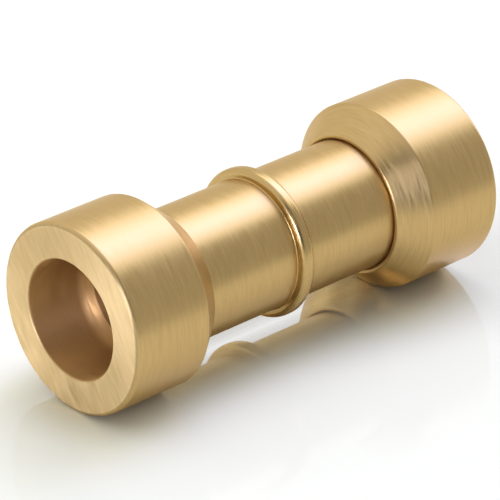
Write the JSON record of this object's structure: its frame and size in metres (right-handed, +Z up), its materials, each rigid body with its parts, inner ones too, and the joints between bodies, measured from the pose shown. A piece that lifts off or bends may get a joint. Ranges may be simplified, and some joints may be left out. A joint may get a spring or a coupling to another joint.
{
  "type": "press-ring tube coupling",
  "caption": "Straight brass tube coupling: a sleeve with a stop collar at its middle and a thick press ring parked on each end, sliding towards the collar.",
  "frame": {"origin": "middle of the stop collar, on the common axis", "axes": "+X along the common axis towards the right press ring, +Z up when the coupling lies on its rings"},
  "size_m": [0.0396, 0.016, 0.016],
  "materials": {
    "sleeve_brass": "fine-turned satin brass",
    "ring_brass": "brushed satin brass"
  },
  "bodies": {
    "sleeve": {"joint_body": "sleeve_brass"},
    "ring_left": {"press_ring_left": "ring_brass"},
    "ring_right": {"press_ring_right": "ring_brass"}
  },
  "joints": [
    {"name": "press_left", "type": "slide", "parent": "sleeve", "child": "ring_left", "axis": [1, 0, 0], "range_m": [0, 0.0093]},
    {"name": "press_right", "type": "slide", "parent": "sleeve", "child": "ring_right", "axis": [-1, 0, 0], "range_m": [0, 0.0093]}
  ]
}
